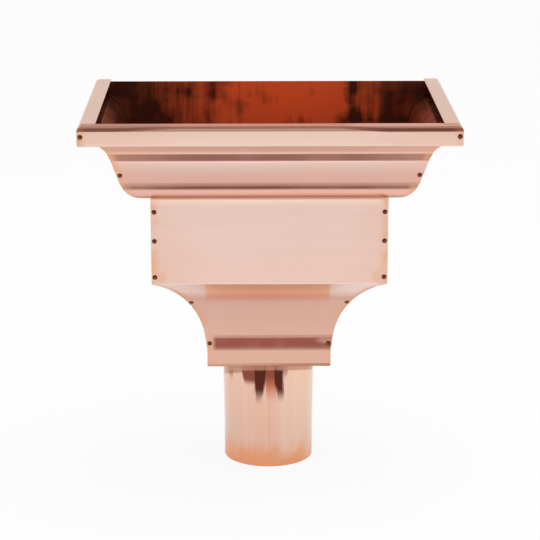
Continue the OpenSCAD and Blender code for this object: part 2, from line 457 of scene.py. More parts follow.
def inner_path(depth):
    """Corners of PANEL, from below the rim's bend to the neck's foot, moved in by a depth."""
    inner = []
    for i in range(1, len(PANEL) - 1):
        before = run_after(PANEL, i - 1)
        after = run_after(PANEL, i)
        inward = Vector((-before.y, before.x)) + Vector((-after.y, after.x))
        at = Vector(PANEL[i][:2]) + inward * depth / (1 + before.dot(after))
        radius = PANEL[i][2] - math.copysign(depth, fold_turn(PANEL, i))
        inner.append((at.x, at.y, radius))
    inner[0] = (inner[0][0], -RIM_R - SOLDER_R, 0)
    return inner


def solder_bead(name, place, turn, stretch):
    """A run of solder in an inside corner, following the panels' folds."""
    bead = draw_profile(name, inner_path(SHEET + 0.7 * SOLDER_R))
    bead.location = place
    bead.rotation_euler = (0, 0, turn)
    bead.scale = (stretch, 1, 1)
    settle(bead)
    bpy.ops.object.convert(target="CURVE")
    bead.data.bevel_depth = SOLDER_R
    bead.data.bevel_resolution = 2
    bead.data.use_fill_caps = True
    bpy.ops.object.convert(target="MESH")
    return bead


def flange_bead():
    """A ring of solder round the outlet's flange, on the neck plate."""
    deselect()
    bpy.ops.mesh.primitive_torus_add(
        major_radius=FLANGE_R, minor_radius=SOLDER_R, major_segments=120, minor_segments=10
    )
    ring = name_piece("flange_solder")
    ring.scale = (1, 1, 0.6)
    ring.location = (0, OUTLET_Y, FLANGE_Z - 1.5 * SHEET)
    settle(ring)
    return ring


def seam_solder():
    """All the solder that shows inside: front corners, wall corners and the outlet's flange."""
    beads = [flange_bead()]
    for side in (-1, 1):
        front_corner = (side * HALF_W, FRONT_Y, RIM_Z)
        front_turn = math.radians(90 + 45 * side)
        wall_corner = (side * HALF_W, -SHEET - 0.4 * SOLDER_R, RIM_Z)
        wall_turn = math.radians(90 + 90 * side)
        beads.append(solder_bead("corner_solder", front_corner, front_turn, math.sqrt(2)))
        beads.append(solder_bead("wall_solder", wall_corner, wall_turn, 1))
    solder = join(beads[0], beads[1:])
    solder.name = "seam_solder"
    apply_modifier(
        solder, "DISPLACE", texture=SOLDER_LUMPS, texture_coords="LOCAL", direction="NORMAL",
        mid_level=0.5, strength=SOLDER_LUMP,
    )
    solder.data.materials.clear()
    solder.data.materials.append(tin_solder())
    round_shading(solder, 60)
    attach(solder, "root")


# Rivets and their tabs

def fold_middle(path, i):
    """Point and outward normal at the middle of a fold."""
    before = run_after(path, i - 1)
    turn = fold_turn(path, i)
    radius = path[i][2]
    side = math.copysign(1, turn)
    start = Vector(path[i][:2]) - before * radius * math.tan(abs(turn) / 2)
    outward = Vector((before.y, -before.x))
    centre = start - outward * radius * side
    angle = math.atan2(outward.y, outward.x) + turn / 2
    normal = Vector((math.cos(angle), math.sin(angle)))
    return centre + normal * radius * side, normal


def facet_seat(i, along):
    """A rivet's place on a flat run: setback, height and lean of the face."""
    run = run_after(PANEL, i)
    at = Vector(PANEL[i][:2]) + run * along
    return at.x, at.y, math.atan2(run.x, -run.y)


def cove_seat():
    """A rivet's place at the middle of the cove."""
    at, normal = fold_middle(PANEL, COVE)
    return at.x, at.y, math.atan2(-normal.y, -normal.x)


RIVETS = [
    facet_seat(FASCIA, FASCIA_H / 2),
    facet_seat(RAKED_BAND, RAKED_RIVET),
    facet_seat(BODY, BODY_RIVET_TOP),
    facet_seat(BODY, BODY_RIVET_MID),
    facet_seat(BODY, BODY_H - BODY_RIVET_FOOT),
    cove_seat(),
    facet_seat(THROAT, THROAT_H / 2),
]


def stand_on_front(piece, seat, side):
    """Stands a piece modelled along Z on the front face at a rivet's seat."""
    setback, height, lean = seat
    piece.rotation_euler = (math.pi / 2 + lean, 0, 0)
    piece.location = (side * (HALF_W - setback - RIVET_EDGE), FRONT_Y + setback, RIM_Z + height)
    settle(piece)


def corner_tab(seat, side):
    """Tab of a side panel that lies behind the front panel and takes the rivet."""
    reach = RIVET_EDGE - SHEET
    deselect()
    bpy.ops.mesh.primitive_cube_add(size=1)
    tab = name_piece("corner_tab")
    tab.scale = (TAB_REACH + reach, TAB_H, SHEET)
    tab.location = (side * (reach - TAB_REACH) / 2, 0, -1.5 * SHEET - SEAM)
    settle(tab)
    edit_all(tab)
    bpy.ops.mesh.bevel(offset=SHEET / 6, segments=2, affect="EDGES")
    leave_edit()
    tab.data.materials.append(inside_copper)
    stand_on_front(tab, seat, side)
    return tab


def turned_pin(name, radius, foot, top):
    """A pin along Z with eased ends."""
    deselect()
    bpy.ops.mesh.primitive_cylinder_add(vertices=PIN_SIDES, radius=radius, depth=top - foot)
    pin = name_piece(name)
    pin.location = (0, 0, (foot + top) / 2)
    settle(pin)
    edit_all(pin)
    bpy.ops.mesh.bevel(offset=radius / 6, segments=2, affect="EDGES")
    leave_edit()
    return pin


def rivet(seat, side):
    """Domed head outside, shank through both sheets, set tail inside."""
    dome_r = (RIVET_HEAD_R ** 2 + RIVET_HEAD_H ** 2) / (2 * RIVET_HEAD_H)
    deselect()
    bpy.ops.mesh.primitive_uv_sphere_add(segments=DOME_SIDES, ring_count=DOME_RINGS, radius=dome_r)
    head = name_piece("rivet")
    head.location = (0, 0, RIVET_HEAD_H - dome_r)
    settle(head)
    cut(head, (0, 0, SEAM), (0, 0, 1), clear_inner=True)
    tail_top = -2 * SHEET - 2 * SEAM
    shank = turned_pin("rivet_shank", RIVET_R, tail_top, RIVET_HEAD_H / 2)
    tail = turned_pin("rivet_tail", RIVET_TAIL_R, tail_top - RIVET_TAIL_H, tail_top)
    join(head, [shank, tail])
    stand_on_front(head, seat, side)
    return head


def rivet_row(name, side):
    """All the rivets of one front corner."""
    row = [rivet(seat, side) for seat in RIVETS]
    piece = join(row[0], row[1:])
    piece.name = name
    piece.data.materials.append(dark_rivet)
    round_shading(piece, 40)
    return piece


# Materials

def start_material(name):
    """A metal with its shader and the object's own coordinates."""
    material = bpy.data.materials.new(name)
    material.use_nodes = True
    nodes = material.node_tree.nodes
    shader = nodes["Principled BSDF"]
    shader.inputs["Metallic"].default_value = 1
    coords = nodes.new("ShaderNodeTexCoord").outputs["Object"]
    return material, shader, coords


def link(material, source, target):
    material.node_tree.links.new(source, target)


def stretched(material, coords, scale):
    """Coordinates scaled apart along the axes."""
    node = material.node_tree.nodes.new("ShaderNodeMapping")
    node.inputs["Scale"].default_value = scale
    link(material, coords, node.inputs["Vector"])
    return node.outputs["Vector"]


def noise(material, coords, scale, detail=3, roughness=0.55):
    """Cloudy noise between 0 and 1."""
    node = material.node_tree.nodes.new("ShaderNodeTexNoise")
    node.inputs["Scale"].default_value = scale
    node.inputs["Detail"].default_value = detail
    node.inputs["Roughness"].default_value = roughness
    link(material, coords, node.inputs["Vector"])
    return node.outputs["Fac"]


def ranged(material, value, low, high, to_low=0.0, to_high=1.0):
    """A value eased from one range onto another."""
    node = material.node_tree.nodes.new("ShaderNodeMapRange")
    node.interpolation_type = "SMOOTHSTEP"
    node.inputs["From Min"].default_value = low
    node.inputs["From Max"].default_value = high
    node.inputs["To Min"].default_value = to_low
    node.inputs["To Max"].default_value = to_high
    link(material, value, node.inputs["Value"])
    return node.outputs["Result"]


def maths(material, operation, a, b=0):
    """One sum of two values, each a number or a socket."""
    node = material.node_tree.nodes.new("ShaderNodeMath")
    node.operation = operation
    for socket, value in zip(node.inputs, (a, b)):
        if isinstance(value, (int, float)):
            socket.default_value = value
        else:
            link(material, value, socket)
    return node.outputs["Value"]


def mixed(material, share, a, b):
    """Colour a, and colour b where the share is 1."""
    node = material.node_tree.nodes.new("ShaderNodeMix")
    node.data_type = "RGBA"
    for socket, value in zip((node.inputs[0], node.inputs[6], node.inputs[7]), (share, a, b)):
        if isinstance(value, tuple):
            socket.default_value = (*value, 1)
        elif isinstance(value, (int, float)):
            socket.default_value = value
        else:
            link(material, value, socket)
    return node.outputs[2]


def split(material, coords):
    """The three axes of the coordinates."""
    node = material.node_tree.nodes.new("ShaderNodeSeparateXYZ")
    link(material, coords, node.inputs["Vector"])
    return node.outputs["X"], node.outputs["Y"], node.outputs["Z"]


def bumped(material, shader, height, strength, distance):
    """Fine relief from a height."""
    node = material.node_tree.nodes.new("ShaderNodeBump")
    node.inputs["Strength"].default_value = strength
    node.inputs["Distance"].default_value = distance
    link(material, height, node.inputs["Height"])
    link(material, node.outputs["Normal"], shader.inputs["Normal"])


def product(material, *values):
    """All the shares multiplied together."""
    result = values[0]
    for value in values[1:]:
        result = maths(material, "MULTIPLY", result, value)
    return result


def ramped(material, value, stops):
    """A colour read off a row of stops, each as place and colour."""
    node = material.node_tree.nodes.new("ShaderNodeValToRGB")
    steps = node.color_ramp.elements
    while len(steps) < len(stops):
        steps.new(1)
    for step, (place, colour) in zip(steps, stops):
        step.position = place
        step.color = (*colour, 1)
    link(material, value, node.inputs["Fac"])
    return node.outputs["Color"]


def away(material, value, middle=0):
    """How far a value lies from a middle, either way."""
    return maths(material, "ABSOLUTE", maths(material, "SUBTRACT", value, middle))


def squares(material, across, along):
    """Sum of two squares, which grows evenly outward from a round patch."""
    return maths(material, "ADD", maths(material, "POWER", across, 2), maths(material, "POWER", along, 2))


# Colours of the copper, its tarnish and its stains, and of painted reflection, highlight and shade
PALE_COPPER = (0.88, 0.655, 0.58)
WARM_COPPER = (0.82, 0.46, 0.34)
HEATED_COPPER = (0.84, 0.42, 0.25)
BROWNED_COPPER = (0.33, 0.10, 0.073)
# Painted reflection and shade on the front rim
RIM_LINE_SHADE = (0.68, 0.31, 0.22)
RIM_END_SHADE = (0.34, 0.13, 0.09)
RIM_BEND_REFLECTION = (0.93, 0.60, 0.47)
# Painted orange reflection at the outlet's foot
FOOT_REFLECTION = (0.90, 0.38, 0.195)
# Oxide of the inside with painted light: lit, patchy and shaded, then painted shade deep down and at the
# ends
INSIDE_LIT_OXIDE = (1, 0.18, 0.055)
INSIDE_PATCHES_AND_SHADE = (0.095, 0.026, 0.016)
INSIDE_DEEP_SHADE = (0.34, 0.075, 0.034)
INSIDE_END_SHADE = (0.10, 0.028, 0.017)
FLUX_STAIN = (0.10, 0.026, 0.017)
FLUX_TINT = (0.28, 0.078, 0.05)
FLUX_GLOW = (0.62, 0.205, 0.105)
# Painted reflection on the outlet's right side
RIGHT_SIDE_REFLECTION = (0.88, 0.61, 0.45)
# Painted shadow below the neck
NECK_SHADOW = (0.52, 0.25, 0.16)
FOOT_EDGE = (0.46, 0.19, 0.12)
TIN = (0.32, 0.30, 0.29)
WARM_TIN = (0.17, 0.10, 0.08)
DARK_TIN = (0.08, 0.04, 0.03)
RIVET_DARK = (0.13, 0.035, 0.02)
RIVET_SPOTS = (0.27, 0.09, 0.05)

# Tint of the sheen on the sheet, on its rim, on the inside and on the wall panel
SHEET_SHEEN = (1, 0.9, 0.85)
RIM_SHEEN = (1, 0.7, 0.62)
INSIDE_SHEEN = (1, 0.5, 0.4)
WALL_SHEEN = (1, 0.7, 0.6)

# How much of the aged inside still shines like metal, and how strong its film's own shine is
AGED_METAL = 0.6
AGED_SHINE = 0.12

# Roughness where the noise is low and where it is high, and that of the dull cove
SHEET_ROUGH = (0.13, 0.21)
AGED_ROUGH = (0.29, 0.5)
SOLDER_ROUGH = (0.42, 0.6)
RIVET_ROUGH = (0.45, 0.3)
COVE_ROUGH = 0.42

# Painted reflection on top of the front rim: tones by the share of its length from the left
RIM_TOP_REFLECTION = [
    (0.17, (0.50, 0.24, 0.165)), (0.37, (0.63, 0.295, 0.21)),
    (0.66, (0.76, 0.405, 0.32)), (0.80, (0.83, 0.515, 0.45)),
]

# Tone of the sheet by the drop from the rim: pale on the flats; the dark lines along the crown's fillets
# and the darker, warmer and brighter bands on the round, the top of the body and the cove are painted
# reflection and shade
PAINTED_LIGHT_TONES = [
    (FASCIA_H, (0.93, 0.675, 0.56)), (FASCIA_H + 0.0005, (0.73, 0.417, 0.327)),
    (chamfer_foot + 0.0004, (0.73, 0.417, 0.327)), (chamfer_foot + 0.001, (0.94, 0.568, 0.465)),
    (chamfer_foot + 0.0021, (0.94, 0.568, 0.465)), (chamfer_foot + 0.0027, (0.31, 0.134, 0.106)),
    (upper_fillet_foot + 0.0001, (0.31, 0.134, 0.106)), (upper_fillet_foot + 0.0008, (1, 0.71, 0.61)),
    (upper_fillet_foot + 0.0019, (0.97, 0.69, 0.60)), (upper_fillet_foot + 0.0027, (0.83, 0.57, 0.50)),
    (upper_fillet_foot + 0.006, (0.77, 0.54, 0.476)), (upper_fillet_foot + 0.012, (0.725, 0.455, 0.38)),
    (raked_foot - 0.0009, (0.72, 0.422, 0.352)), (raked_foot, (0.50, 0.25, 0.20)),
    (raked_foot + 0.0021, (0.48, 0.24, 0.195)), (raked_foot + 0.0028, (0.15, 0.048, 0.034)),
    (lower_fillet_foot - 0.0008, (0.15, 0.048, 0.034)), (lower_fillet_foot + 0.0002, (0.94, 0.56, 0.46)),
    (lower_fillet_foot + 0.0062, (0.97, 0.54, 0.43)), (lower_fillet_foot + 0.0072, (0.38, 0.165, 0.105)),
    (shelf_drop, (0.38, 0.165, 0.105)), (shelf_drop + 0.001, (0.60, 0.31, 0.23)),
    (shelf_drop + 0.0018, (0.60, 0.31, 0.23)), (shelf_drop + 0.0024, (1, 0.72, 0.59)),
    (shelf_drop + 0.0046, (0.97, 0.69, 0.57)), (shelf_drop + 0.0075, (0.845, 0.62, 0.535)),
    (body_foot - 0.001, (0.85, 0.595, 0.505)), (body_foot + 0.0005, (1, 0.87, 0.82)),
    (body_foot + 0.011, (1, 0.80, 0.735)), (body_foot + 0.02, (0.78, 0.472, 0.382)),
    (NECK_FOOT - 0.0018, (0.75, 0.452, 0.342)), (NECK_FOOT - 0.0008, (0.74, 0.39, 0.265)),
]

# Painted reflection of the neck on the front cove's top: warm tones by the same drop
COVE_NECK_REFLECTION = [
    (body_foot, (1, 0.72, 0.53)), (body_foot + 0.004, (1, 0.66, 0.46)),
    (body_foot + 0.012, (1, 0.62, 0.43)), (body_foot + 0.0165, (0.87, 0.44, 0.29)),
    (body_foot + 0.023, (0.79, 0.43, 0.315)),
]

# Plain tones of the flat wall panel and neck plate, by the same drop
FLAT_TONES = [(0, (0.86, 0.62, 0.53)), (NECK_FOOT, (0.82, 0.55, 0.45))]

# The outlet's tones by the same drop: darker just below the neck, and a painted orange reflection at the
# foot
OUTLET_TONES_AND_FOOT_REFLECTION = [
    (NECK_FOOT + 0.007, (0.72, 0.32, 0.20)), (NECK_FOOT + 0.0105, (0.87, 0.55, 0.42)),
    (NECK_FOOT + 0.074, (0.87, 0.55, 0.42)), (NECK_FOOT + 0.084, (0.88, 0.45, 0.28)),
]


def by_drop(material, z, stops):
    """A colour by the drop from the rim, read off a row of stops."""
    reach = RIM_Z - SPIGOT_FOOT
    drop = maths(material, "DIVIDE", maths(material, "SUBTRACT", RIM_Z, z), reach)
    return ramped(material, drop, [(place / reach, colour) for place, colour in stops])


def share_by_drop(material, z, stops):
    """A share by the drop from the rim, read off a row of stops."""
    return by_drop(material, z, [(place, (share, share, share)) for place, share in stops])


def clouded_copper(material, coords, tones=PAINTED_LIGHT_TONES):
    """Bright copper in the tone of its place, clouded a little; the sheet's tones by the drop hold
    painted reflection and shade.
    """
    tone = by_drop(material, split(material, coords)[2], tones)
    clouds = noise(material, coords, 14, 3)
    tone = mixed(material, ranged(material, clouds, 0.5, 0.8, 0, 0.22), tone, WARM_COPPER)
    return mixed(material, ranged(material, clouds, 0.45, 0.2, 0, 0.18), tone, PALE_COPPER)


def mill_finish(material, shader, coords, lines, dull=0):
    """Soft sheen with smears, duller by a share, and the fine grain of rolled sheet."""
    smears = noise(material, stretched(material, coords, lines), 1, 4)
    rough = ranged(material, smears, 0.3, 0.75, *SHEET_ROUGH)
    rough = maths(material, "MAXIMUM", rough, maths(material, "MULTIPLY", dull, COVE_ROUGH))
    link(material, rough, shader.inputs["Roughness"])
    bumped(material, shader, noise(material, coords, 900, 2), 0.05, 0.0002)


def corner_heat(material, coords):
    """Share of heat tint along the soldered front corners."""
    x, y, _ = split(material, coords)
    mitre_y = maths(material, "SUBTRACT", HALF_W + FRONT_Y, away(material, x))
    patches = ranged(material, noise(material, coords, 60, 3), 0.35, 0.6, 0.05, 0.85)
    return product(material, ranged(material, away(material, y, mitre_y), 0, 0.009, 1, 0), patches)


def rivet_heat(material, coords):
    """Share of heat tint beside the lowest rivets of the body."""
    x, _, z = split(material, coords)
    heated_x = HALF_W - BODY_INSET - 0.008
    heated_z = RIM_Z - body_foot + BODY_RIVET_FOOT
    across = maths(material, "SUBTRACT", away(material, x), heated_x)
    along = maths(material, "SUBTRACT", heated_z, z)
    reach = maths(material, "SQRT", squares(material, across, along))
    return ranged(material, reach, 0.002, 0.0075, 0.45, 0)


def end_warmth(material, coords):
    """Share of a warmer tone towards the ends of the front."""
    return ranged(material, away(material, split(material, coords)[0]), 0.05, 0.13, 0, 0.55)


def cove_reflection_shares(material, coords):
    """Shares of a painted reflection of the neck, warm and as wide as the neck, and of dullness on the
    cove's top.
    """
    x, _, z = split(material, coords)
    from_left = ranged(material, x, -0.0545, -0.0525)
    to_right = ranged(material, x, 0.050, 0.0518, 1, 0)
    band = share_by_drop(material, z, [
        (body_foot - 0.0002, 0), (body_foot + 0.001, 1), (body_foot + 0.019, 1), (body_foot + 0.027, 0),
    ])
    return product(material, from_left, to_right, band), band


def throat_browning(material, coords):
    """Share of browning on the throat band, bare at the left corner and worn at the right."""
    x, y, z = split(material, coords)
    band = share_by_drop(material, z, [
        (cove_foot - 0.0021, 0), (cove_foot - 0.0016, 0.42), (cove_foot + 0.0005, 0.42),
        (cove_foot + 0.0012, 1), (throat_foot - 0.0029, 1), (throat_foot - 0.0023, 0.76),
        (throat_foot - 0.0004, 0.76), (throat_foot + 0.0003, 0),
    ])
    face_y = FRONT_Y + cove_inset
    on_front = ranged(material, y, face_y + 0.003, face_y + 0.012, 1, 0)
    bare = product(material, ranged(material, x, -0.0505, -0.0445, 1, 0), on_front)
    worn_x = NECK_W / 2 - 0.003
    worn_z = RIM_Z - cove_foot - 0.0035
    across = maths(material, "DIVIDE", maths(material, "SUBTRACT", x, worn_x), 0.011)
    along = maths(material, "DIVIDE", maths(material, "SUBTRACT", z, worn_z), 0.0032)
    reach = squares(material, across, along)
    worn = product(material, ranged(material, reach, 0, 1.2, 0.45, 0), on_front)
    patches = ranged(material, noise(material, coords, 60, 2), 0.3, 0.6, 0.94, 1)
    covered = maths(material, "SUBTRACT", 1, bare)
    unworn = maths(material, "SUBTRACT", 1, worn)
    return product(material, band, covered, unworn, patches)


def foot_browning(material, coords):
    """Share of heat tint along the foot of the neck, stronger to the right."""
    x, _, z = split(material, coords)
    foot_z = RIM_Z - NECK_FOOT
    edge = ranged(material, z, foot_z + 0.0026, foot_z + 0.0036, 1, 0)
    return product(material, edge, ranged(material, x, -0.045, 0.03, 0.3, 0.75))


def rim_reflection_and_shade(material, coords):
    """Shares of painted reflection and shade on the front rim: on top, over the bend, in a line and
    towards the ends.
    """
    x, y, z = split(material, coords)
    drop = maths(material, "SUBTRACT", RIM_Z, z)
    back_y = FRONT_Y + RIM_W
    front = ranged(material, y, back_y + 0.0001, back_y + 0.0003, 1, 0)
    top = product(material, ranged(material, drop, 0.0001, 0.0003, 1, 0), front)
    bend = product(material, ranged(material, drop, 0.003, RIM_R, 1, 0), front)
    right_end = ranged(material, x, 0.05, 0.095)
    left_end = ranged(material, x, -0.13, -0.065, 0.8, 0)
    ends = maths(material, "MAXIMUM", right_end, left_end)
    line_drop = maths(material, "ADD", 0.0006, maths(material, "MULTIPLY", ends, 0.0021))
    width = maths(material, "ADD", 1, maths(material, "MULTIPLY", ends, 0.6))
    off_line = maths(material, "DIVIDE", away(material, drop, line_drop), width)
    line = product(material, ranged(material, off_line, 0.0006, 0.0012, 1, 0), front)
    return top, bend, line, ends


def rim_tinning(material, coords):
    """Share of solder smeared over the butt seams on top of the rim."""
    x, y, z = split(material, coords)
    tinned_x = HALF_W - 0.009
    tinned_y = FRONT_Y + RIM_W - 0.004
    across = maths(material, "DIVIDE", maths(material, "SUBTRACT", away(material, x), tinned_x), 0.008)
    along = maths(material, "DIVIDE", maths(material, "SUBTRACT", y, tinned_y), 0.006)
    reach = maths(material, "ADD", squares(material, across, along), noise(material, coords, 260, 3))
    top = ranged(material, z, RIM_Z - 0.0006, RIM_Z - 0.0003)
    return product(material, ranged(material, reach, 0.7, 1.4, 0.9, 0), top)


def sheet_copper():
    """Bright sheet with painted reflection and shade along the crown, the rim and the cove's top, browned
    along the throat, tinted by heat at the soldered corners.
    """
    material, shader, coords = start_material("bright copper sheet")
    x, _, z = split(material, coords)
    # Painted reflection and shade along the crown, by the drop from the rim
    tone = clouded_copper(material, coords)
    tone = mixed(material, end_warmth(material, coords), tone, mixed(material, 0.5, tone, WARM_COPPER))
    # Painted reflection and shade on the rim's top, over its bend and in a line below it
    top, bend, line, ends = rim_reflection_and_shade(material, coords)
    tone = mixed(material, bend, tone, mixed(material, ends, RIM_BEND_REFLECTION, WARM_COPPER))
    tone = mixed(material, top, tone, ramped(material, ranged(material, x, -HALF_W, HALF_W), RIM_TOP_REFLECTION))
    tone = mixed(material, line, tone, mixed(material, ends, RIM_LINE_SHADE, RIM_END_SHADE))
    rim = maths(material, "MAXIMUM", top, line)
    link(material, mixed(material, rim, SHEET_SHEEN, RIM_SHEEN), shader.inputs["Specular Tint"])
    tone = mixed(material, rim_tinning(material, coords), tone, TIN)
    tone = mixed(material, corner_heat(material, coords), tone, HEATED_COPPER)
    tone = mixed(material, rivet_heat(material, coords), tone, HEATED_COPPER)
    # Painted reflection of the neck, warm on the cove's top
    neck_reflection, dull = cove_reflection_shares(material, coords)
    tone = mixed(material, neck_reflection, tone, by_drop(material, z, COVE_NECK_REFLECTION))
    tone = mixed(material, throat_browning(material, coords), tone, BROWNED_COPPER)
    tone = mixed(material, foot_browning(material, coords), tone, FOOT_EDGE)
    link(material, tone, shader.inputs["Base Color"])
    mill_finish(material, shader, coords, (6, 6, 160), dull)
    return material


def inside_oxide_and_light(material, coords):
    """Deep red oxide of the unpolished inside, with painted light: a painted reflection brightest right
    of the middle, painted shade deeper down and towards the ends.
    """
    x, _, z = split(material, coords)
    drifts = noise(material, stretched(material, coords, (34, 34, 40)), 1, 3, 0.5)
    streaks = noise(material, stretched(material, coords, (110, 110, 10)), 1, 3)
    sway = maths(material, "MULTIPLY", maths(material, "SUBTRACT", drifts, 0.5), 0.03)
    swayed = maths(material, "ADD", x, sway)
    # Painted shade at both ends, leaving a painted reflection brightest right of the middle; drifts and
    # streaks are patches of oxide
    to_left = ranged(material, swayed, -0.125, 0.03, 1.12, 0)
    to_right = ranged(material, swayed, 0.062, 0.074, -0.1, 0.72)
    shade_and_patches = maths(material, "ADD", to_left, to_right)
    shade_and_patches = maths(material, "ADD", shade_and_patches, ranged(material, drifts, 0.4, 0.72, -0.3, 0.45))
    shade_and_patches = maths(material, "ADD", shade_and_patches, ranged(material, streaks, 0.35, 0.75, -0.2, 0.32))
    shade_and_patches.node.use_clamp = True
    tone = mixed(material, shade_and_patches, INSIDE_LIT_OXIDE, INSIDE_PATCHES_AND_SHADE)
    # Painted shade deeper down inside and towards the ends
    tone = mixed(material, share_by_drop(material, z, [(0.036, 0), (0.075, 0.75)]), tone, INSIDE_DEEP_SHADE)
    ends = ranged(material, away(material, x), 0.096, 0.104, 0, 0.7)
    return mixed(material, ends, tone, INSIDE_END_SHADE)


def aged_finish(material, shader, coords):
    """Dull patches of oxide on rolled sheet, with little shine of their own."""
    shader.inputs["Specular IOR Level"].default_value = AGED_SHINE
    patches = noise(material, coords, 55, 4)
    link(material, ranged(material, patches, 0.3, 0.75, *AGED_ROUGH), shader.inputs["Roughness"])
    bumped(material, shader, noise(material, coords, 700, 2), 0.08, 0.0002)


def aged_and_shaded_inside():
    """Inside of the folded panels and of the outlet: oxide with painted light and shade."""
    material, shader, coords = start_material("aged and shaded copper inside")
    link(material, inside_oxide_and_light(material, coords), shader.inputs["Base Color"])
    shader.inputs["Metallic"].default_value = AGED_METAL
    shader.inputs["Specular Tint"].default_value = (*INSIDE_SHEEN, 1)
    aged_finish(material, shader, coords)
    return material


def wall_copper():
    """Wall panel: bright on the wall side, aged and with painted light and shade on the inside."""
    material, shader, coords = start_material("wall panel copper")
    y = split(material, coords)[1]
    inside_y = -0.75 * SHEET
    wall_y = -0.25 * SHEET
    inside = ranged(material, y, inside_y, wall_y, 1, 0)
    bright = clouded_copper(material, coords, FLAT_TONES)
    tone = mixed(material, inside, bright, inside_oxide_and_light(material, coords))
    link(material, tone, shader.inputs["Base Color"])
    link(material, ranged(material, y, inside_y, wall_y, AGED_METAL, 1), shader.inputs["Metallic"])
    shader.inputs["Specular Tint"].default_value = (*WALL_SHEEN, 1)
    aged_finish(material, shader, coords)
    return material


def tin_solder():
    """Dull solder, mixed with the oxide and the painted light and shade of the inside that it runs on."""
    material, shader, coords = start_material("tin solder")
    dull = noise(material, coords, 240, 3)
    tone = mixed(material, ranged(material, dull, 0.3, 0.7), WARM_TIN, DARK_TIN)
    tone = mixed(material, 0.6, tone, inside_oxide_and_light(material, coords))
    link(material, tone, shader.inputs["Base Color"])
    link(material, ranged(material, dull, 0.3, 0.7, *SOLDER_ROUGH), shader.inputs["Roughness"])
    return material


def plate_copper():
    """Neck plate: bright below, aged and with painted light and shade above."""
    material, shader, coords = start_material("neck plate copper")
    z = split(material, coords)[2]
    plate_low, plate_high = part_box("neck_plate")
    above = ranged(material, z, plate_low.z + 0.25 * SHEET, plate_high.z - 0.25 * SHEET)
    bright = clouded_copper(material, coords, FLAT_TONES)
    tone = mixed(material, above, bright, inside_oxide_and_light(material, coords))
    link(material, tone, shader.inputs["Base Color"])
    mill_finish(material, shader, coords, (20, 20, 60))
    return material


# Place of the outlet's seam across its front
OUTLET_SEAM = 0.0005

# The painted shadow below the neck hangs lower towards the back, and lower on the left than on the right
SHADOW_SAG = 0.33
SHADOW_SLANT = 0.045

# Flux runs on the outlet: edges at the top, edges at the tip, length, start of fading, share, colour
FLUX_TOP = NECK_FOOT + 0.0048
FLUX_RUNS = [
    (-0.0352, -0.0303, -0.0348, -0.0310, 0.0190, 0.5, 0.6, FLUX_TINT),
    (-0.0249, -0.0108, -0.0205, -0.0110, 0.0190, 0.7, 1.0, FLUX_TINT),
    (-0.0045, 0.0075, -0.0025, 0.0065, 0.0330, 0.5, 1.0, FLUX_GLOW),
    (-0.0045, 0.0075, -0.0015, 0.0065, 0.0215, 0.35, 1.0, FLUX_TINT),
    (0.0125, 0.0176, 0.0130, 0.0155, 0.0140, 0.4, 0.6, FLUX_TINT),
    (-0.0122, -0.0022, -0.0124, -0.0066, 0.0350, 0.6, 1.0, FLUX_STAIN),
    (0.0043, 0.0134, 0.0075, 0.0130, 0.0330, 0.65, 1.0, FLUX_STAIN),
]


def flux_run(material, x, drop, left, right, tip_left, tip_right, length, fading, share):
    """Share of one run: a tongue that narrows to its tip."""
    down = maths(material, "MAXIMUM", maths(material, "DIVIDE", drop, length))
    bend = maths(material, "POWER", down, 1.6)
    left_edge = maths(material, "ADD", left, maths(material, "MULTIPLY", bend, tip_left - left))
    right_edge = maths(material, "ADD", right, maths(material, "MULTIPLY", bend, tip_right - right))
    from_left = maths(material, "SUBTRACT", x, left_edge)
    from_right = maths(material, "SUBTRACT", right_edge, x)
    inside = ranged(material, maths(material, "MINIMUM", from_left, from_right), -0.0006, 0.0011)
    return product(material, inside, ranged(material, down, fading, 1.1, share, 0))


def outlet_tone(material, coords, front):
    """Drawn grain, a painted reflection on the right side, a warm seam down the front and an uneven
    orange foot of painted reflection.
    """
    x, _, z = split(material, coords)
    grain = noise(material, stretched(material, coords, (120, 120, 4)), 1, 3)
    tone = clouded_copper(material, coords, OUTLET_TONES_AND_FOOT_REFLECTION)
    tone = mixed(material, ranged(material, grain, 0.35, 0.7, 0, 0.5), tone, PALE_COPPER)
    # Painted reflection on the right side
    right_reflection = product(material, ranged(material, x, 0.01, 0.02, 0, 0.5), front)
    tone = mixed(material, right_reflection, tone, RIGHT_SIDE_REFLECTION)
    off_seam = away(material, x, OUTLET_SEAM)
    seam = product(material, ranged(material, off_seam, 0.0004, 0.0022, 0.4, 0), front)
    tone = mixed(material, seam, tone, HEATED_COPPER)
    middle = product(material, ranged(material, off_seam, 0.004, 0.014, 0.4, 0), front)
    tone = mixed(material, middle, tone, WARM_COPPER)
    # Painted orange reflection at the foot, with an uneven top
    uneven = maths(material, "MULTIPLY", noise(material, coords, 48, 3), 0.034)
    height = maths(material, "ADD", z, uneven)
    foot = ranged(material, height, SPIGOT_FOOT + 0.018, SPIGOT_FOOT + 0.034, 1, 0)
    return mixed(material, foot, tone, FOOT_REFLECTION)


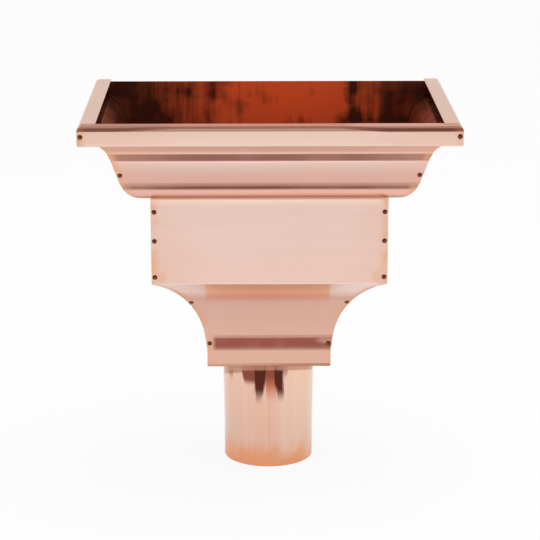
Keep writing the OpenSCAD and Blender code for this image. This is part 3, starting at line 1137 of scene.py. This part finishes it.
def shadow_and_flux(material, coords, front, tone):
    """A tone with the painted shadow that hangs below the neck and the runs of flux over it."""
    x, y, z = split(material, coords)
    drop = maths(material, "SUBTRACT", RIM_Z - FLUX_TOP, z)
    behind = maths(material, "SUBTRACT", y, OUTLET_Y - FLANGE_R)
    below = maths(material, "SUBTRACT", drop, maths(material, "MULTIPLY", behind, SHADOW_SAG))
    slanted = maths(material, "ADD", below, maths(material, "MULTIPLY", x, SHADOW_SLANT))
    # Painted shadow below the neck
    neck_shadow = product(material, ranged(material, slanted, 0.0024, 0.0042, 0.8, 0), front)
    tone = mixed(material, neck_shadow, tone, NECK_SHADOW)
    start = ranged(material, below, 0.0012, 0.0034, 0.3, 1)
    streaks = noise(material, stretched(material, coords, (450, 450, 30)), 1, 2)
    sway = maths(material, "MULTIPLY", maths(material, "SUBTRACT", streaks, 0.5), 0.005)
    swayed = maths(material, "ADD", x, sway)
    for *run, colour in FLUX_RUNS:
        share = product(material, flux_run(material, swayed, drop, *run), front, start)
        tone = mixed(material, share, tone, colour)
    return tone


def outlet_copper():
    """The same sheet on the outlet, with a painted shadow and flux runs below the neck and a painted
    orange reflection at the foot.
    """
    material, shader, coords = start_material("outlet copper")
    y = split(material, coords)[1]
    front = ranged(material, y, OUTLET_Y - 0.012, OUTLET_Y - 0.004, 1, 0)
    tone = shadow_and_flux(material, coords, front, outlet_tone(material, coords, front))
    link(material, tone, shader.inputs["Base Color"])
    mill_finish(material, shader, coords, (160, 160, 6))
    return material


def rivet_copper():
    """Dark brown rivets with lighter spots."""
    material, shader, coords = start_material("dark rivet finish")
    spots = noise(material, coords, 700, 3)
    tone = mixed(material, ranged(material, spots, 0.3, 0.7), RIVET_DARK, RIVET_SPOTS)
    link(material, tone, shader.inputs["Base Color"])
    link(material, ranged(material, spots, 0.3, 0.7, *RIVET_ROUGH), shader.inputs["Roughness"])
    return material


# The head's pieces

def dress(piece, node):
    """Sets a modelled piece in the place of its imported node."""
    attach(piece, "root")
    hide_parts(node)


def finish_flat(node, material):
    """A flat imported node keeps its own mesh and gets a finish."""
    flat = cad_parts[node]
    flat.data.materials.clear()
    flat.data.materials.append(material)


bright_copper = sheet_copper()
inside_copper = aged_and_shaded_inside()
streaked_copper = outlet_copper()
dark_rivet = rivet_copper()

dress(front_panel(), "front_panel")
dress(side_panel("folded_left_side", -1), "left_side_panel")
dress(side_panel("folded_right_side", 1), "right_side_panel")
dress(outlet_tube(), "outlet_tube")
dress(rivet_row("left_rivets", -1), "left_corner_rivets")
dress(rivet_row("right_rivets", 1), "right_corner_rivets")
seam_solder()
finish_flat("wall_panel", wall_copper())
finish_flat("neck_plate", plate_copper())


# Floor, light and camera

# Colours of the room that shows in the metal, of the light it gives and of the backdrop
ROOM_SIDES = (0.42, 0.40, 0.39)
ROOM_AHEAD = (0.50, 0.42, 0.40)
ROOM_ABOVE = (0.48, 0.46, 0.45)
ROOM_BEHIND = (0.78, 0.78, 0.78)
ROOM_LIGHT = (0.72, 0.72, 0.72)
BACKDROP = (0.968, 0.968, 0.968)

# The floor lies just below the spigot's foot
FLOOR_SIZE = (7, 7.2)
FLOOR_Y = 0.4
FLOOR_GAP = 0.0002

# The camera, fitted to the photo
CAMERA_PLACE = (-0.0179, -1.799, 0.4245)
CAMERA_PITCH = math.radians(90 - 15.4)
CAMERA_TURN = math.radians(-0.64)
SENSOR = 36
LENS = 136.67


def pale_floor():
    """White to the camera and in the metal, matt where it takes the head's shadow."""
    deselect()
    bpy.ops.mesh.primitive_plane_add(size=1)
    floor = name_piece("floor")
    floor.scale = (*FLOOR_SIZE, 1)
    floor.location = (0, FLOOR_Y, SPIGOT_FOOT - FLOOR_GAP)
    settle(floor)
    material = bpy.data.materials.new("white floor")
    material.use_nodes = True
    nodes = material.node_tree.nodes
    nodes.clear()
    path = nodes.new("ShaderNodeLightPath")
    matt = nodes.new("ShaderNodeBsdfDiffuse")
    matt.inputs["Color"].default_value = (0.9, 0.9, 0.9, 1)
    glow = nodes.new("ShaderNodeEmission")
    glow.inputs["Color"].default_value = (1, 1, 1, 1)
    glow.inputs["Strength"].default_value = 1
    shown = maths(material, "MULTIPLY", path.outputs["Is Camera Ray"], 0.9)
    mirrored = maths(
        material, "MAXIMUM", path.outputs["Is Glossy Ray"], path.outputs["Is Transmission Ray"]
    )
    share = maths(material, "MAXIMUM", shown, maths(material, "MULTIPLY", mirrored, 0.6))
    blend = nodes.new("ShaderNodeMixShader")
    link(material, share, blend.inputs["Fac"])
    link(material, matt.outputs["BSDF"], blend.inputs[1])
    link(material, glow.outputs["Emission"], blend.inputs[2])
    link(material, blend.outputs["Shader"], nodes.new("ShaderNodeOutputMaterial").inputs["Surface"])
    floor.data.materials.append(material)


def studio_world():
    """White to the camera; in the metal a dim room, brightest behind the head."""
    world = bpy.data.worlds.new("studio")
    bpy.context.scene.world = world
    world.use_nodes = True
    nodes = world.node_tree.nodes
    nodes.clear()
    path = nodes.new("ShaderNodeLightPath")
    coords = nodes.new("ShaderNodeTexCoord").outputs["Generated"]
    _, y, z = split(world, coords)
    ahead = ranged(world, y, -0.5, 0.0, 1, 0)
    behind = product(world, ranged(world, y, -0.1, 0.35), ranged(world, z, 0.45, 0.7, 1, 0))
    room = mixed(world, ahead, ROOM_SIDES, ROOM_AHEAD)
    room = mixed(world, ranged(world, z, 0.35, 0.7), room, ROOM_ABOVE)
    room = mixed(world, behind, room, ROOM_BEHIND)
    seen = mixed(world, path.outputs["Is Glossy Ray"], ROOM_LIGHT, room)
    shown = mixed(world, path.outputs["Is Camera Ray"], seen, BACKDROP)
    background = nodes.new("ShaderNodeBackground")
    link(world, shown, background.inputs["Color"])
    link(world, background.outputs["Background"], nodes.new("ShaderNodeOutputWorld").inputs["Surface"])


def softbox(name, place, aim, size, watts):
    """A soft lamp of a given size, turned to what it lights."""
    bpy.ops.object.light_add(type="AREA", location=place)
    lamp = bpy.context.object
    lamp.name = name
    lamp.data.shape = "RECTANGLE"
    lamp.data.size, lamp.data.size_y = size
    lamp.data.energy = watts
    lamp.rotation_euler = (Vector(aim) - Vector(place)).to_track_quat("-Z", "Y").to_euler()
    return lamp


def photo_camera():
    """Looks at the front from a little above, through a long lens."""
    bpy.ops.object.camera_add(location=CAMERA_PLACE)
    camera = bpy.context.object
    camera.rotation_euler = (CAMERA_PITCH, 0, CAMERA_TURN)
    camera.data.sensor_width = SENSOR
    camera.data.lens = LENS
    bpy.context.scene.camera = camera


pale_floor()
studio_world()
key = softbox("overhead softbox", place=(0.2, -0.3, 1.7), aim=(0, -0.2, 0), size=(1.4, 1.2), watts=16)
key.visible_glossy = False
photo_camera()

scene = bpy.context.scene
scene.view_settings.view_transform = "Standard"
scene.cycles.max_bounces = 16
scene.cycles.glossy_bounces = 14
